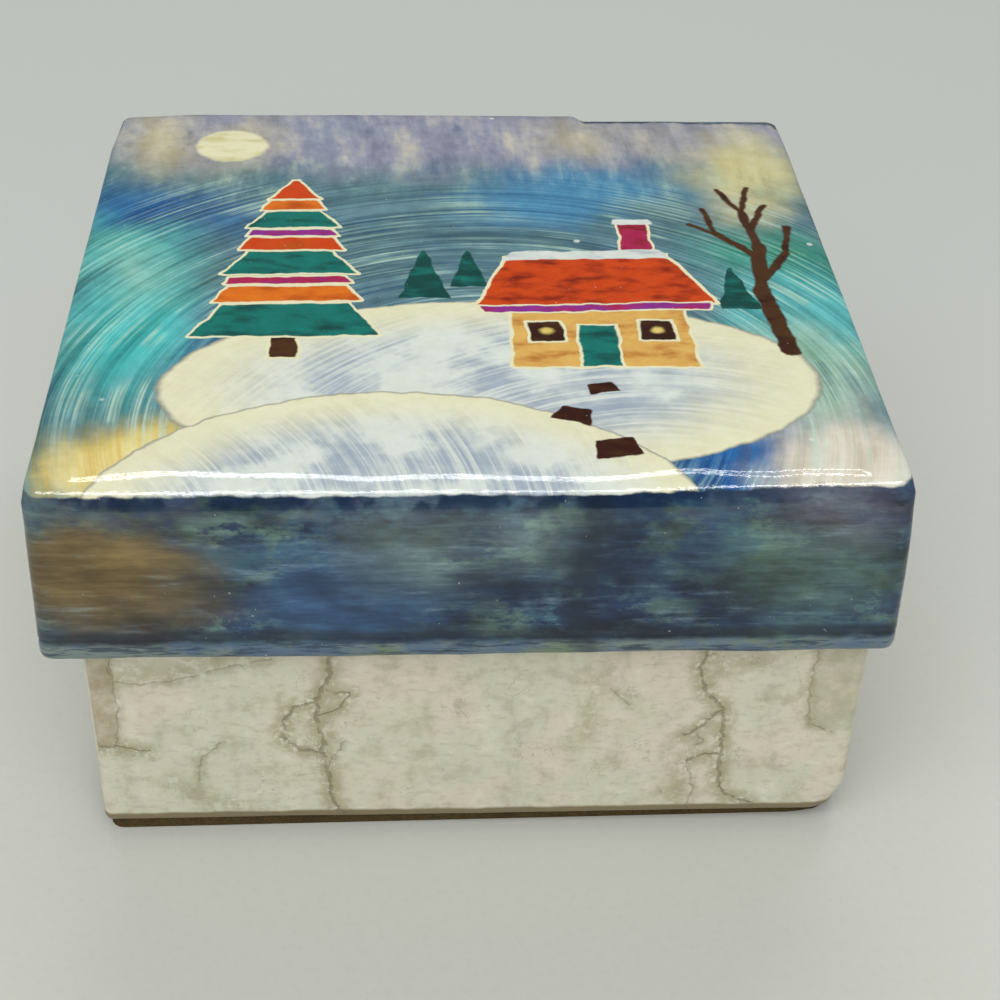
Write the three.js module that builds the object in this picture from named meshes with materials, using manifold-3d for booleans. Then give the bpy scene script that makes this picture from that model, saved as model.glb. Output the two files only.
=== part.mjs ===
// A square trinket box laminated from plates of capiz shell: a natural shell tray and a painted
// lift-off lid. Millimetres, +Z up, the front facing -Y. Z is 0 under the pad, and X and Y are 0
// at the middle of the lid.

import * as THREE from 'three';
import { mergeVertices } from 'three/addons/utils/BufferGeometryUtils.js';
import Module from 'manifold-3d';

const wasm = await Module();
wasm.setup();

// Laminate: an outer plate glued to an inner lining
const PLATE = 0.6;
const LINING = 0.5;
const GLUE = 0.1;
const SEAM = 0.3;
const WALL = PLATE + GLUE + LINING;

// Lid
const LID_WIDTH = 102;
const LID_HEIGHT = 23.2;
const LID_FLARE = 0.3;
const LID_CORNER_LEG = 3.4;
const LID_CORNER_EASE = 0.6;
const EDGE_ROUND = 1.8;
const EDGE_LEG = 3.8;
const RIM_HEIGHT = 2.8;
const RIM_PROUD = 0.12;
const RIM_ROUND = 0.8;

// Base
const BASE_HEIGHT = 51.7;
const BASE_TAPER = 0.35;
const BASE_CORNER_ROUND = 1.5;
const BASE_CORNER_LEGS = { front_right: 5.4, back_right: 4.4, back_left: 4.8, front_left: 3.8 };
const PAD_THICKNESS = 1.9;
const PAD_INSET = 0.6;
const PAD_CORNER_ROUND = 2;

// Fit of the lid on the base
const LID_PLAY = 0.3;
const LID_OFF_CENTRE = 1.2;
const SEAT_GAP = 0.2;

// Steps in a quarter turn of a rounded corner, and in a rounded edge
const CORNER_STEPS = 6;
const EDGE_STEPS = 4;

// How far a cutting solid runs past what it cuts
const PAST = 1;

// Levels
const RIM_LEVEL = PAD_THICKNESS + BASE_HEIGHT;
const LID_TOP = RIM_LEVEL + SEAT_GAP + WALL;
const LID_OPEN_EDGE = LID_TOP - LID_HEIGHT;
const LID_WALL_LOW = LID_OPEN_EDGE + RIM_HEIGHT;
const LID_WALL_HIGH = LID_TOP - EDGE_LEG;

// Half widths, before the walls lean
const LID_HALF = LID_WIDTH / 2;
const EDGE_HALF = LID_HALF - EDGE_LEG;
const BASE_HALF = (LID_HALF - WALL) * lidLean(RIM_LEVEL) - LID_PLAY - LID_OFF_CENTRE;

const SIDES = ['front', 'right', 'back', 'left'];
const CORNERS = ['front_right', 'back_right', 'back_left', 'front_left'];

// Looks of the real surfaces, as plain materials
const NATURAL_SHELL = surface(0xc3bfa6, 0.35);
const LINING_SHELL = surface(0xcfcab6, 0.3);
const CORNER_SHELL = surface(0xb0a98c, 0.38);
const PAINTED_TOP = surface(0x7f9fb8, 0.12);
const PAINTED_SIDE = surface(0x41586a, 0.3);
const PAINTED_RIM = surface(0x6b8191, 0.28);
const BROWN_FELT = surface(0x4a3c20, 0.95);

function surface(color, roughness) {
  return new THREE.MeshStandardMaterial({ color, roughness, metalness: 0 });
}

// How much wider than straight each level is: the lid spreads downwards, the base narrows
function lidLean(z) {
  return 1 + ((LID_FLARE / LID_HALF) * (LID_TOP - z)) / LID_HEIGHT;
}

function baseLean(z) {
  return 1 - ((BASE_TAPER / BASE_HALF) * (RIM_LEVEL - z)) / BASE_HEIGHT;
}

function leaned(geometry, leanAt) {
  const position = geometry.attributes.position;
  for (let i = 0; i < position.count; i++) {
    const factor = leanAt(position.getZ(i));
    position.setXY(i, position.getX(i) * factor, position.getY(i) * factor);
  }
  geometry.computeVertexNormals();
  return geometry;
}

// Solids for cutting and joining

function toSolid(geometry) {
  const bare = geometry.clone();
  bare.deleteAttribute('normal');
  bare.deleteAttribute('uv');
  const merged = mergeVertices(bare, 1e-4);
  const vertProperties = Float32Array.from(merged.attributes.position.array);
  const triVerts = Uint32Array.from(merged.index.array);
  return new wasm.Manifold(new wasm.Mesh({ numProp: 3, vertProperties, triVerts }));
}

function toGeometry(solid) {
  const mesh = solid.getMesh();
  const geometry = new THREE.BufferGeometry();
  geometry.setAttribute('position', new THREE.BufferAttribute(mesh.vertProperties, 3));
  geometry.setIndex(new THREE.BufferAttribute(mesh.triVerts, 1));
  return geometry.toNonIndexed();
}

// Basic forms

function extrudedUp(shape, low, high) {
  const depth = high - low;
  const geometry = new THREE.ExtrudeGeometry(shape, {
    depth,
    bevelEnabled: false,
    curveSegments: CORNER_STEPS,
  });
  return geometry.translate(0, 0, low);
}

function squareBlock(half, low, high) {
  return new THREE.BoxGeometry(2 * half, 2 * half, high - low).translate(0, 0, (low + high) / 2);
}

function roundedSquare(half, round) {
  const shape = new THREE.Shape();
  const flat = half - round;
  const centres = [
    [flat, -flat],
    [flat, flat],
    [-flat, flat],
    [-flat, -flat],
  ];
  centres.forEach(([x, y], i) => {
    shape.absarc(x, y, round, ((i - 1) * Math.PI) / 2, (i * Math.PI) / 2);
  });
  return shape;
}

// A square block whose upper and lower edges are rounded, and its upright corners a little more
function softBlock(half, edgeRound, cornerEase, low, high) {
  const shape = roundedSquare(half - edgeRound, cornerEase);
  const geometry = new THREE.ExtrudeGeometry(shape, {
    depth: high - low - 2 * edgeRound,
    bevelThickness: edgeRound,
    bevelSize: edgeRound,
    bevelSegments: EDGE_STEPS,
    curveSegments: CORNER_STEPS,
  });
  return geometry.translate(0, 0, low + edgeRound);
}

// The wedge of space in front of the lid's middle, turned to one of the four sides
function sideWedge(turn, low, high) {
  const reach = LID_WIDTH;
  const apart = SEAM / Math.SQRT2;
  const outline = [
    new THREE.Vector2(0, -apart),
    new THREE.Vector2(-reach, -reach - apart),
    new THREE.Vector2(reach, -reach - apart),
  ];
  const wedge = extrudedUp(new THREE.Shape(outline), low - PAST, high + PAST);
  return wedge.rotateZ((turn * Math.PI) / 2);
}

// A ring of the lid, cut at its corners into one strip for each side
function splitRing(ring, low, high) {
  return SIDES.map((side, turn) => {
    const wedge = toSolid(sideWedge(turn, low, high));
    return toGeometry(ring.intersect(wedge));
  });
}

// An upright strip that wraps one corner of a square tube, half a seam short of its plates
function cornerStrip(tube, turn, half, legs, low, high) {
  const reach = legs[turn] - SEAM / 2;
  const size = 2 * reach;
  const block = new THREE.BoxGeometry(size, size, high - low);
  block.translate(half, -half, (low + high) / 2).rotateZ((turn * Math.PI) / 2);
  return toGeometry(tube.intersect(toSolid(block)));
}

// Plates on a wall: outlines are in shares of the panel between two corner strips, from its
// lower left as seen from outside, and every plate is drawn in by half a seam

function drawnIn(outline, by) {
  return outline.map((point, i) => {
    const before = outline[(i + outline.length - 1) % outline.length];
    const after = outline[(i + 1) % outline.length];
    const into = point.clone().sub(before).normalize();
    const out = after.clone().sub(point).normalize();
    const bisector = new THREE.Vector2(-into.y - out.y, into.x + out.x).normalize();
    const stretch = 1 / bisector.dot(new THREE.Vector2(-into.y, into.x));
    return point.clone().addScaledVector(bisector, by * stretch);
  });
}

function plateShape(panel, shares) {
  const width = panel.right - panel.left;
  const height = panel.high - panel.low;
  const corners = shares.map(
    ([across, up]) => new THREE.Vector2(panel.left + across * width, panel.low + up * height),
  );
  return new THREE.Shape(drawnIn(corners, SEAM / 2));
}

function wallPlate(panel, turn, shares, inner, thickness) {
  const plate = extrudedUp(plateShape(panel, shares), inner, inner + thickness);
  return plate.rotateX(Math.PI / 2).rotateZ((turn * Math.PI) / 2);
}

function flatPlate(panel, shares, low, thickness) {
  return extrudedUp(plateShape(panel, shares), low, low + thickness);
}

// The plates between the given seams, each seam listed from its lower end to its upper end
function platesBetween(seams) {
  const leftEnd = [
    [0, 0],
    [0, 1],
  ];
  const rightEnd = [
    [1, 0],
    [1, 1],
  ];
  const borders = [leftEnd, ...seams, rightEnd];
  return borders.slice(1).map((right, i) => [...right, ...borders[i].slice().reverse()]);
}

const WHOLE = platesBetween([])[0];

function namedPlates(seams) {
  const between = seams.length > 1 ? ['mid_plate'] : [];
  const names = ['left_plate', ...between, 'right_plate'];
  return Object.fromEntries(platesBetween(seams).map((shares, i) => [names[i], shares]));
}

// The panel of one wall, with half a seam to spare above and below
function panelOf(turn, half, legs, low, high) {
  const leftLeg = legs[(turn + 3) % 4];
  const rightLeg = legs[turn];
  return {
    left: -half + leftLeg,
    right: half - rightLeg,
    low: low - SEAM / 2,
    high: high + SEAM / 2,
  };
}

function addMesh(group, name, geometry, material) {
  const mesh = new THREE.Mesh(geometry, material);
  mesh.name = name;
  group.add(mesh);
}

// Where the torn plates of the base's front meet: the long seams, and the chips beside them

const FRONT_LEFT_SEAM_SHARES = {
  lower: [
    [0.299, 0],
    [0.286, 0.16],
    [0.28, 0.22],
  ],
  besideChip: [[0.283, 0.304]],
  upper: [
    [0.276, 0.389],
    [0.293, 0.42],
    [0.2965, 0.476],
    [0.294, 0.545],
    [0.277, 0.738],
    [0.288, 1],
  ],
};
const CHIP_OUTER_SHARES = [
  [0.229, 0.222],
  [0.228, 0.268],
  [0.231, 0.328],
  [0.248, 0.372],
];
const FRONT_RIGHT_SEAM_SHARES = {
  lower: [
    [0.886, 0],
    [0.88, 0.071],
    [0.873, 0.241],
  ],
  upper: [
    [0.865, 0.333],
    [0.851, 0.372],
    [0.837, 0.428],
    [0.827, 0.486],
    [0.833, 0.7],
    [0.823, 1],
  ],
};
const SLIVER_OUTER_SHARES = [
  [0.834, 0],
  [0.841, 0.037],
  [0.829, 0.158],
  [0.826, 0.225],
  [0.816, 0.266],
];

function frontPlates() {
  const left = FRONT_LEFT_SEAM_SHARES;
  const right = FRONT_RIGHT_SEAM_SHARES;
  const roundChip = [...left.lower, ...CHIP_OUTER_SHARES, ...left.upper];
  const behindChip = [...left.lower, ...left.besideChip, ...left.upper];
  const roundSliver = [...SLIVER_OUTER_SHARES, ...right.upper];
  const chipTop = left.upper.slice(0, 1);
  const chipBottom = left.lower.slice(-1);
  const sliverTop = right.upper.slice(0, 1);
  return {
    left_plate: platesBetween([roundChip])[0],
    chip: [...chipBottom, ...left.besideChip, ...chipTop, ...CHIP_OUTER_SHARES.slice().reverse()],
    mid_plate: platesBetween([behindChip, roundSliver])[1],
    sliver: [...right.lower, ...sliverTop, ...SLIVER_OUTER_SHARES.slice().reverse()],
    right_plate: platesBetween([[...right.lower, ...right.upper]])[1],
  };
}

// Seams of the other walls, as shares of each panel
const BASE_SEAM_SHARES = {
  right: [
    [
      [0.36, 0],
      [0.33, 0.3],
      [0.37, 0.55],
      [0.34, 1],
    ],
    [
      [0.7, 0],
      [0.74, 0.25],
      [0.69, 0.6],
      [0.72, 1],
    ],
  ],
  back: [
    [
      [0.24, 0],
      [0.27, 0.35],
      [0.23, 0.65],
      [0.26, 1],
    ],
    [
      [0.63, 0],
      [0.6, 0.2],
      [0.65, 0.5],
      [0.62, 1],
    ],
  ],
  left: [
    [
      [0.3, 0],
      [0.34, 0.22],
      [0.29, 0.5],
      [0.32, 1],
    ],
    [
      [0.66, 0],
      [0.63, 0.4],
      [0.68, 0.62],
      [0.65, 1],
    ],
  ],
};
const LID_SEAM_SHARES = {
  front: [
    [0.648, 0],
    [0.628, 0.36],
    [0.641, 0.62],
    [0.646, 1],
  ],
  right: [
    [0.42, 0],
    [0.45, 0.4],
    [0.41, 1],
  ],
  back: [
    [0.35, 0],
    [0.33, 0.5],
    [0.3, 1],
  ],
  left: [
    [0.56, 0],
    [0.52, 0.55],
    [0.55, 1],
  ],
};
const TOP_SEAM_SHARES = [
  [0.7, 0],
  [0.715, 0.35],
  [0.69, 0.7],
  [0.7, 1],
];

function buildBase() {
  const base = new THREE.Group();
  base.position.x = LID_OFF_CENTRE;
  const legs = CORNERS.map((corner) => BASE_CORNER_LEGS[corner]);
  const place = (name, geometry, material) => {
    addMesh(base, name, leaned(geometry, baseLean), material);
  };

  const padHalf = BASE_HALF - BASE_TAPER - PAD_INSET;
  const padShape = roundedSquare(padHalf, PAD_CORNER_ROUND);
  addMesh(base, 'base_pad', extrudedUp(padShape, 0, PAD_THICKNESS), BROWN_FELT);

  const floorHalf = BASE_HALF - WALL - SEAM;
  const floorLevel = PAD_THICKNESS + PLATE + GLUE;
  place('base_bottom_plate', squareBlock(floorHalf, PAD_THICKNESS, PAD_THICKNESS + PLATE), NATURAL_SHELL);
  place('base_floor_lining', squareBlock(floorHalf, floorLevel, floorLevel + LINING), LINING_SHELL);

  const outside = extrudedUp(roundedSquare(BASE_HALF, BASE_CORNER_ROUND), PAD_THICKNESS, RIM_LEVEL);
  const inside = squareBlock(BASE_HALF - WALL, PAD_THICKNESS - PAST, RIM_LEVEL + PAST);
  const tube = toSolid(outside).subtract(toSolid(inside));
  CORNERS.forEach((corner, turn) => {
    const strip = cornerStrip(tube, turn, BASE_HALF, legs, PAD_THICKNESS, RIM_LEVEL);
    place(`base_corner_${corner}`, strip, CORNER_SHELL);
  });

  SIDES.forEach((side, turn) => {
    const panel = panelOf(turn, BASE_HALF, legs, PAD_THICKNESS, RIM_LEVEL);
    const lining = wallPlate(panel, turn, WHOLE, BASE_HALF - WALL, LINING);
    place(`base_lining_${side}`, lining, LINING_SHELL);
    const plates = side === 'front' ? frontPlates() : namedPlates(BASE_SEAM_SHARES[side]);
    for (const [plate, shares] of Object.entries(plates)) {
      const skin = wallPlate(panel, turn, shares, BASE_HALF - PLATE, PLATE);
      place(`base_${side}_${plate}`, skin, NATURAL_SHELL);
    }
  });
  return base;
}


function buildLid() {
  const lid = new THREE.Group();
  const legs = CORNERS.map(() => LID_CORNER_LEG);
  const place = (name, geometry, material) => {
    addMesh(lid, name, leaned(geometry, lidLean), material);
  };

  // The body runs on below the open edge, so that what is kept of it is rounded only at the top
  const belowLid = LID_OPEN_EDGE - LID_HEIGHT;
  const body = toSolid(softBlock(LID_HALF, EDGE_ROUND, LID_CORNER_EASE, belowLid, LID_TOP));
  const hollow = toSolid(squareBlock(LID_HALF - WALL, belowLid - PAST, LID_TOP - WALL));
  const shell = body.subtract(hollow);

  const edgeSlab = toSolid(squareBlock(LID_HALF + PAST, LID_WALL_HIGH, LID_TOP + PAST));
  const topOpening = toSolid(squareBlock(EDGE_HALF, LID_OPEN_EDGE, LID_TOP + PAST));
  const edgeRing = shell.intersect(edgeSlab).subtract(topOpening);
  splitRing(edgeRing, LID_WALL_HIGH, LID_TOP).forEach((strip, turn) => {
    place(`lid_edge_${SIDES[turn]}`, strip, PAINTED_TOP);
  });

  const topHalf = EDGE_HALF - SEAM / 2;
  const topPanel = { left: -topHalf, right: topHalf, low: -topHalf, high: topHalf };
  const topPlates = namedPlates([TOP_SEAM_SHARES]);
  for (const [plate, shares] of Object.entries(topPlates)) {
    place(`lid_top_${plate}`, flatPlate(topPanel, shares, LID_TOP - PLATE, PLATE), PAINTED_TOP);
  }
  place('lid_top_lining', flatPlate(topPanel, WHOLE, LID_TOP - WALL, LINING), LINING_SHELL);

  const stripLow = LID_WALL_LOW + SEAM;
  const stripHigh = LID_WALL_HIGH - SEAM;
  CORNERS.forEach((corner, turn) => {
    const strip = cornerStrip(shell, turn, LID_HALF, legs, stripLow, stripHigh);
    place(`lid_corner_${corner}`, strip, PAINTED_SIDE);
  });

  SIDES.forEach((side, turn) => {
    const panel = panelOf(turn, LID_HALF, legs, stripLow, stripHigh);
    const lining = wallPlate(panel, turn, WHOLE, LID_HALF - WALL, LINING);
    place(`lid_lining_${side}`, lining, LINING_SHELL);
    for (const [plate, shares] of Object.entries(namedPlates([LID_SEAM_SHARES[side]]))) {
      const skin = wallPlate(panel, turn, shares, LID_HALF - PLATE, PLATE);
      place(`lid_${side}_${plate}`, skin, PAINTED_SIDE);
    }
  });

  const rimHalf = LID_HALF + RIM_PROUD;
  const rimEase = LID_CORNER_EASE + RIM_PROUD;
  const rimBody = toSolid(softBlock(rimHalf, RIM_ROUND, rimEase, LID_OPEN_EDGE, LID_TOP));
  const rimSlab = toSolid(squareBlock(rimHalf + PAST, LID_OPEN_EDGE - PAST, LID_WALL_LOW));
  const rimRing = rimBody.intersect(rimSlab).subtract(hollow);
  splitRing(rimRing, LID_OPEN_EDGE, LID_WALL_LOW).forEach((strip, turn) => {
    place(`lid_rim_${SIDES[turn]}`, strip, PAINTED_RIM);
  });
  return lid;
}

const trinketBox = new THREE.Group();
trinketBox.add(buildBase());
trinketBox.add(buildLid());

export default trinketBox;
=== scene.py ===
# %% [markdown]
# A trinket box laminated from capiz shell, the thin translucent shell of the windowpane oyster.
# The tray is natural shell under a clear satin lacquer. The lid lifts off, and its outside is
# painted and thickly lacquered. The frame brings the measured solids of every plate and strip.
# This lesson gives the box its hand-laid surfaces, its paint and its lacquer.

import math
from functools import partial

import bmesh
import bpy
from mathutils import Matrix, Vector, noise


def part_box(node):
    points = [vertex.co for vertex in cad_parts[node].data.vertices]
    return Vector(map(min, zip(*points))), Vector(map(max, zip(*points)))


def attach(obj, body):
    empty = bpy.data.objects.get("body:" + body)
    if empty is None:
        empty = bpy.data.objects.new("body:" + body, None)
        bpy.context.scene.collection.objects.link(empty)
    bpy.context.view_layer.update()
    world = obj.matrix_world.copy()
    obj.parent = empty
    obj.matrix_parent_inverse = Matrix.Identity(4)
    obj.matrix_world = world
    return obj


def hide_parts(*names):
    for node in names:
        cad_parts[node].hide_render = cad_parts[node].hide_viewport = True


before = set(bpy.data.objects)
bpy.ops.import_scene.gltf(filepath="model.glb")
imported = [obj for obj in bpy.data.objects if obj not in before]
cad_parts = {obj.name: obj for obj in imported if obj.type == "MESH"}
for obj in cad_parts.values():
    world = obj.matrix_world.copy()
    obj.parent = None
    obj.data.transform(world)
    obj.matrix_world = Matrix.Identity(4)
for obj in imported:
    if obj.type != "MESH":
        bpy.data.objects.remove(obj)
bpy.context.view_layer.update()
MM = 0.001

# %% [markdown]
# A photograph can be matched only from where it was taken. The square lid's four top corners,
# its open edge and the foot of the tray fix the lens, the distance and a slight roll of the
# camera. Its axes are the directions that its right side, its top and its view point to.

# %% Place the camera
BOX_MIDDLE = Vector((0, 0, 0.03))
CAMERA_PLACE = Vector((-9.1, -224, 180.1)) * MM
PITCH, YAW, ROLL = (math.radians(turn) for turn in (35.89, 3.91, 1.88))
LENS_MM = 68.5
SENSOR_MM = 36


def add_to_scene(name, data, place, turn):
    """Puts a camera or a lamp at its place, turned as told."""
    thing = bpy.data.objects.new(name, data)
    bpy.context.scene.collection.objects.link(thing)
    thing.matrix_world = Matrix.Translation(place) @ turn.to_4x4()
    return thing


ahead = Vector((math.sin(YAW) * math.cos(PITCH), math.cos(YAW) * math.cos(PITCH), -math.sin(PITCH)))
level_right = ahead.cross(Vector((0, 0, 1))).normalized()
level_up = level_right.cross(ahead)
right = math.cos(ROLL) * level_right + math.sin(ROLL) * level_up
up = -math.sin(ROLL) * level_right + math.cos(ROLL) * level_up
lens = bpy.data.cameras.new("camera")
lens.lens = LENS_MM
lens.sensor_width = SENSOR_MM
camera = add_to_scene("camera", lens, CAMERA_PLACE, Matrix((right, up, -ahead)).transposed())
bpy.context.scene.camera = camera
print("camera is", round((CAMERA_PLACE - BOX_MIDDLE).length / MM), "mm from the box")

# %% [markdown]
# Paints are easiest to name by the shade that the eye sees on a screen, but a shader mixes
# light, not screen values. One function turns a screen shade into the light that it stands for.

# %% Mix the paints
PAINTS = {}


def light_of(value):
    return value / 12.92 if value <= 0.04045 else ((value + 0.055) / 1.055) ** 2.4


def mix_paints(**shades):
    """Adds colours for shader sockets, each named, from screen shades such as e07820."""
    for name, code in shades.items():
        PAINTS[name] = tuple(light_of(int(code[i:i + 2], 16) / 255) for i in (0, 2, 4)) + (1,)
    print(len(shades), "more paints")


mix_paints(
    slate="587a84", lavender_grey="9496a8", old_cream="c6bc94", butter="d0c892", cyan="46b3b0",
    deep_blue="235a90", clear_blue="4789b2", slate_teal="558a8a", sea_green="38907c",
    turquoise="58b0b0", pale_green="a8c6ae", rose_cream="d8d0bf", royal_blue="245c96",
    golden="dcc66e", glow="ead898", snow="d9dfd6", blue_snow="adb8c0", cream_snow="e6e2bc",
    snow_shade="929eb0", snow_line="84867f", orange_red="cc450c", deep_red="7a1c06",
    orange="dd7218", burnt_orange="b84e08", teal="127268", deep_teal="0c4540", purple="8a2c8c",
    magenta="a8214e", brown="35150a", bark="4a2c12", honey="dcae5c", deep_honey="b5702c",
)

# %% [markdown]
# Every finish here is worked out from where a point lies on the box, in millimetres, by small
# chains of nodes. A few helpers keep those chains readable. Each adds one node to the tree that
# was started last, joins or sets its inputs, and hands back its output.

# %% Helpers for node chains
def start_tree(tree):
    global work_tree
    work_tree = tree


def give(socket, feed):
    """Joins an output to a socket, or sets it to a number, a place or a named paint."""
    if isinstance(feed, bpy.types.NodeSocket):
        work_tree.links.new(feed, socket)
    elif feed is not None:
        socket.default_value = PAINTS[feed] if isinstance(feed, str) else feed


def add_node(kind, feeds, **settings):
    node = work_tree.nodes.new("ShaderNode" + kind)
    for setting, value in settings.items():
        setattr(node, setting, value)
    for label, feed in dict(feeds).items():
        give(node.inputs[label], feed)
    return node.outputs


def calc(operation, *values):
    return add_node("Math", enumerate(values), operation=operation)[0]


def vector_calc(operation, *values):
    outputs = add_node("VectorMath", enumerate(values), operation=operation)
    return outputs["Value" if operation in ("LENGTH", "DOT_PRODUCT") else "Vector"]


times = partial(calc, "MULTIPLY")
times_plus = partial(calc, "MULTIPLY_ADD")
plus = partial(calc, "ADD")
minus = partial(calc, "SUBTRACT")
divided = partial(calc, "DIVIDE")
larger = partial(calc, "MAXIMUM")
smaller = partial(calc, "MINIMUM")
absolute = partial(calc, "ABSOLUTE")
above = partial(calc, "GREATER_THAN")
moved = partial(vector_calc, "ADD")
seen_from = partial(vector_calc, "SUBTRACT")
scaled = partial(vector_calc, "MULTIPLY")
length = partial(vector_calc, "LENGTH")
product = partial(vector_calc, "DOT_PRODUCT")
# One of a point's three numbers: a product is lighter on the renderer than Separate XYZ.
x_of = partial(product, (1, 0, 0))
y_of = partial(product, (0, 1, 0))
z_of = partial(product, (0, 0, 1))


def fade(value, start, end, most=None):
    """0 where the value is at start, 1 or most where it is at end, and smooth between."""
    feeds = {"Value": value, "From Min": start, "From Max": end}
    share = add_node("MapRange", feeds, interpolation_type="SMOOTHSTEP")[0]
    return share if most is None else times(share, most)


def blended(share, first, second, kind="MIX"):
    return add_node("Mix", {0: share, 6: first, 7: second}, data_type="RGBA", blend_type=kind)[2]


def washed(colour, *washes):
    """Lays washes over a colour, each with its share and its paint."""
    for share, paint in washes:
        colour = blended(share, colour, paint)
    return colour


def blended_value(share, first, second):
    return add_node("Mix", {0: share, 2: first, 3: second}, data_type="FLOAT")[0]


def clouds(point, size, detail=3, rough=0.5, output="Fac"):
    """Soft noise whose lumps are about size millimetres across."""
    feeds = {"Vector": point, "Scale": 1 / size, "Detail": detail, "Roughness": rough}
    return add_node("TexNoise", feeds)[output]


def cells(point, size, **settings):
    """A net of cells about size millimetres across."""
    return add_node("TexVoronoi", {"Vector": point, "Scale": 1 / size}, **settings)


def flat(point):
    return scaled(point, (1, 1, 0))


def point_of(x, y, z):
    return add_node("CombineXYZ", enumerate((x, y, z)))[0]


def new_group(name, takes, gives):
    """Starts a node group. Its inputs and outputs are named under their kinds."""
    tree = bpy.data.node_groups.new(name, "ShaderNodeTree")
    start_tree(tree)
    for way, kinds in (("INPUT", takes), ("OUTPUT", gives)):
        for kind, labels in kinds.items():
            for label in labels.split():
                tree.interface.new_socket(label, in_out=way, socket_type="NodeSocket" + kind)
    return tree.nodes.new("NodeGroupInput").outputs, tree.nodes.new("NodeGroupOutput").inputs


def use(group, **feeds):
    return add_node("Group", feeds, node_tree=bpy.data.node_groups[group])


print("node helpers ready")

# %% [markdown]
# A painted shape can be given as a distance: how far a point is from its edge, negative inside.
# Three kinds are enough for a picture in cut-out style. A band is a four-sided patch that may
# taper, an oval makes hills and the moon, and a stroke is a line with a width. The pictures are
# flat, so a point needs only two numbers, and the third carries a result from each shape to the
# next. The renderer then works through them one by one, which keeps its small memory free.

# %% Shapes as distances
FAR = 1000


def turned(point, centre, turn):
    """The point as seen from the centre, turned about the upright axis."""
    feeds = {"Vector": seen_from(point, centre), "Angle": times(turn, -1)}
    return add_node("VectorRotate", feeds, rotation_type="Z_AXIS")[0]


takes, gives = new_group("stroke", {"Vector": "Point Start End", "Float": "Half"}, {"Vector": "Point"})
from_start = seen_from(takes["Point"], takes["Start"])
along = seen_from(takes["End"], takes["Start"])
reach = divided(product(from_start, along), product(along, along))
reach = smaller(larger(reach, 0), 1)
offset = seen_from(from_start, scaled(along, point_of(reach, reach, reach)))
distance = minus(length(flat(offset)), takes["Half"])
kept = point_of(0, 0, smaller(z_of(offset), distance))
give(gives["Point"], moved(flat(takes["Point"]), kept))

takes, gives = new_group(
    "oval_distance", {"Vector": "Point Centre Radii", "Float": "Turn"}, {"Float": "Distance"})
own = turned(takes["Point"], takes["Centre"], takes["Turn"])
share = length(vector_calc("DIVIDE", own, takes["Radii"]))
shorter = smaller(x_of(takes["Radii"]), y_of(takes["Radii"]))
give(gives["Distance"], times(minus(share, 1), shorter))

takes, gives = new_group(
    "band_distance", {"Vector": "Point Centre", "Float": "Low High Rise Turn"}, {"Float": "Distance"})
own = turned(takes["Point"], takes["Centre"], takes["Turn"])
own_y = y_of(own)
height = divided(plus(own_y, takes["Rise"]), times(takes["Rise"], 2))
height = smaller(larger(height, 0), 1)
width = times_plus(minus(takes["High"], takes["Low"]), height, takes["Low"])
across = minus(absolute(x_of(own)), width)
upward = minus(absolute(own_y), takes["Rise"])
give(gives["Distance"], calc("SMOOTH_MAX", across, upward, 0.5))


def oval(point, x, y, wide, deep, turn=0):
    return use("oval_distance", Point=point, Centre=(x, y, 0), Radii=(wide, deep, 1e6), Turn=turn)[0]


def band(point, x, y, low, high, rise, turn):
    return use("band_distance", Point=point, Centre=(x, y, 0), Low=low, High=high, Rise=rise, Turn=turn)[0]


def nearest_stroke(place, strokes):
    """How far a flat point is from the nearest of some strokes."""
    carried = moved(flat(place), (0, 0, FAR))
    for start, end, half in strokes:
        carried = use("stroke", Point=carried, Start=(*start, 0), End=(*end, 0), Half=half)["Point"]
    return z_of(carried)


print("shape groups:", ", ".join(g.name for g in bpy.data.node_groups))

# %% [markdown]
# Hand-cut edges wander a little. Moving the point by noise before its distance is taken gives
# every edge that wobble at once. A layer of paint then covers what lies under it, with an
# optional thin outline, and its colour shifts between two tones where the brush pressed harder.

# %% Wobble, layers of paint and brush marks
takes, gives = new_group("hand_wobble", {"Vector": "Point", "Float": "Size Amount"}, {"Vector": "Point"})
feeds = {"Vector": takes["Point"], "Scale": divided(1, takes["Size"]), "Detail": 3}
centred = seen_from(add_node("TexNoise", feeds)["Color"], (0.5, 0.5, 0.5))
amount = point_of(takes["Amount"], takes["Amount"], takes["Amount"])
give(gives["Point"], vector_calc("MULTIPLY_ADD", centred, amount, takes["Point"]))

kinds = {"Vector": "Point", "Color": "Under Paint Deep Rim", "Float": "Brush Distance Soft Outline"}
takes, gives = new_group("paint_layer", kinds, {"Vector": "Point", "Color": "Color"})
rim = fade(takes["Distance"], plus(takes["Outline"], takes["Soft"]), takes["Outline"])
rim = times(rim, above(takes["Outline"], 0.01))
body = fade(takes["Distance"], takes["Soft"], times(takes["Soft"], -1))
give(gives["Color"], washed(takes["Under"], (rim, takes["Rim"]), (body, takes["Paint"]),
                            (times(body, takes["Brush"]), takes["Deep"])))
covered = point_of(0, 0, larger(z_of(takes["Point"]), body))
give(gives["Point"], moved(flat(takes["Point"]), covered))

takes, gives = new_group(
    "brush_arcs", {"Vector": "Point Centre", "Float": "Width Along"}, {"Float": "Mark"})
own = flat(seen_from(takes["Point"], takes["Centre"]))
heading = vector_calc("NORMALIZE", own)
ring = divided(length(own), takes["Width"])
turn_x = times(x_of(heading), takes["Along"])
turn_y = times(y_of(heading), takes["Along"])
give(gives["Mark"], clouds(point_of(ring, turn_x, turn_y), 1, 4, 0.62))


def wobbled(point, size, amount):
    return use("hand_wobble", Point=point, Size=size, Amount=amount)["Point"]


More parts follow.
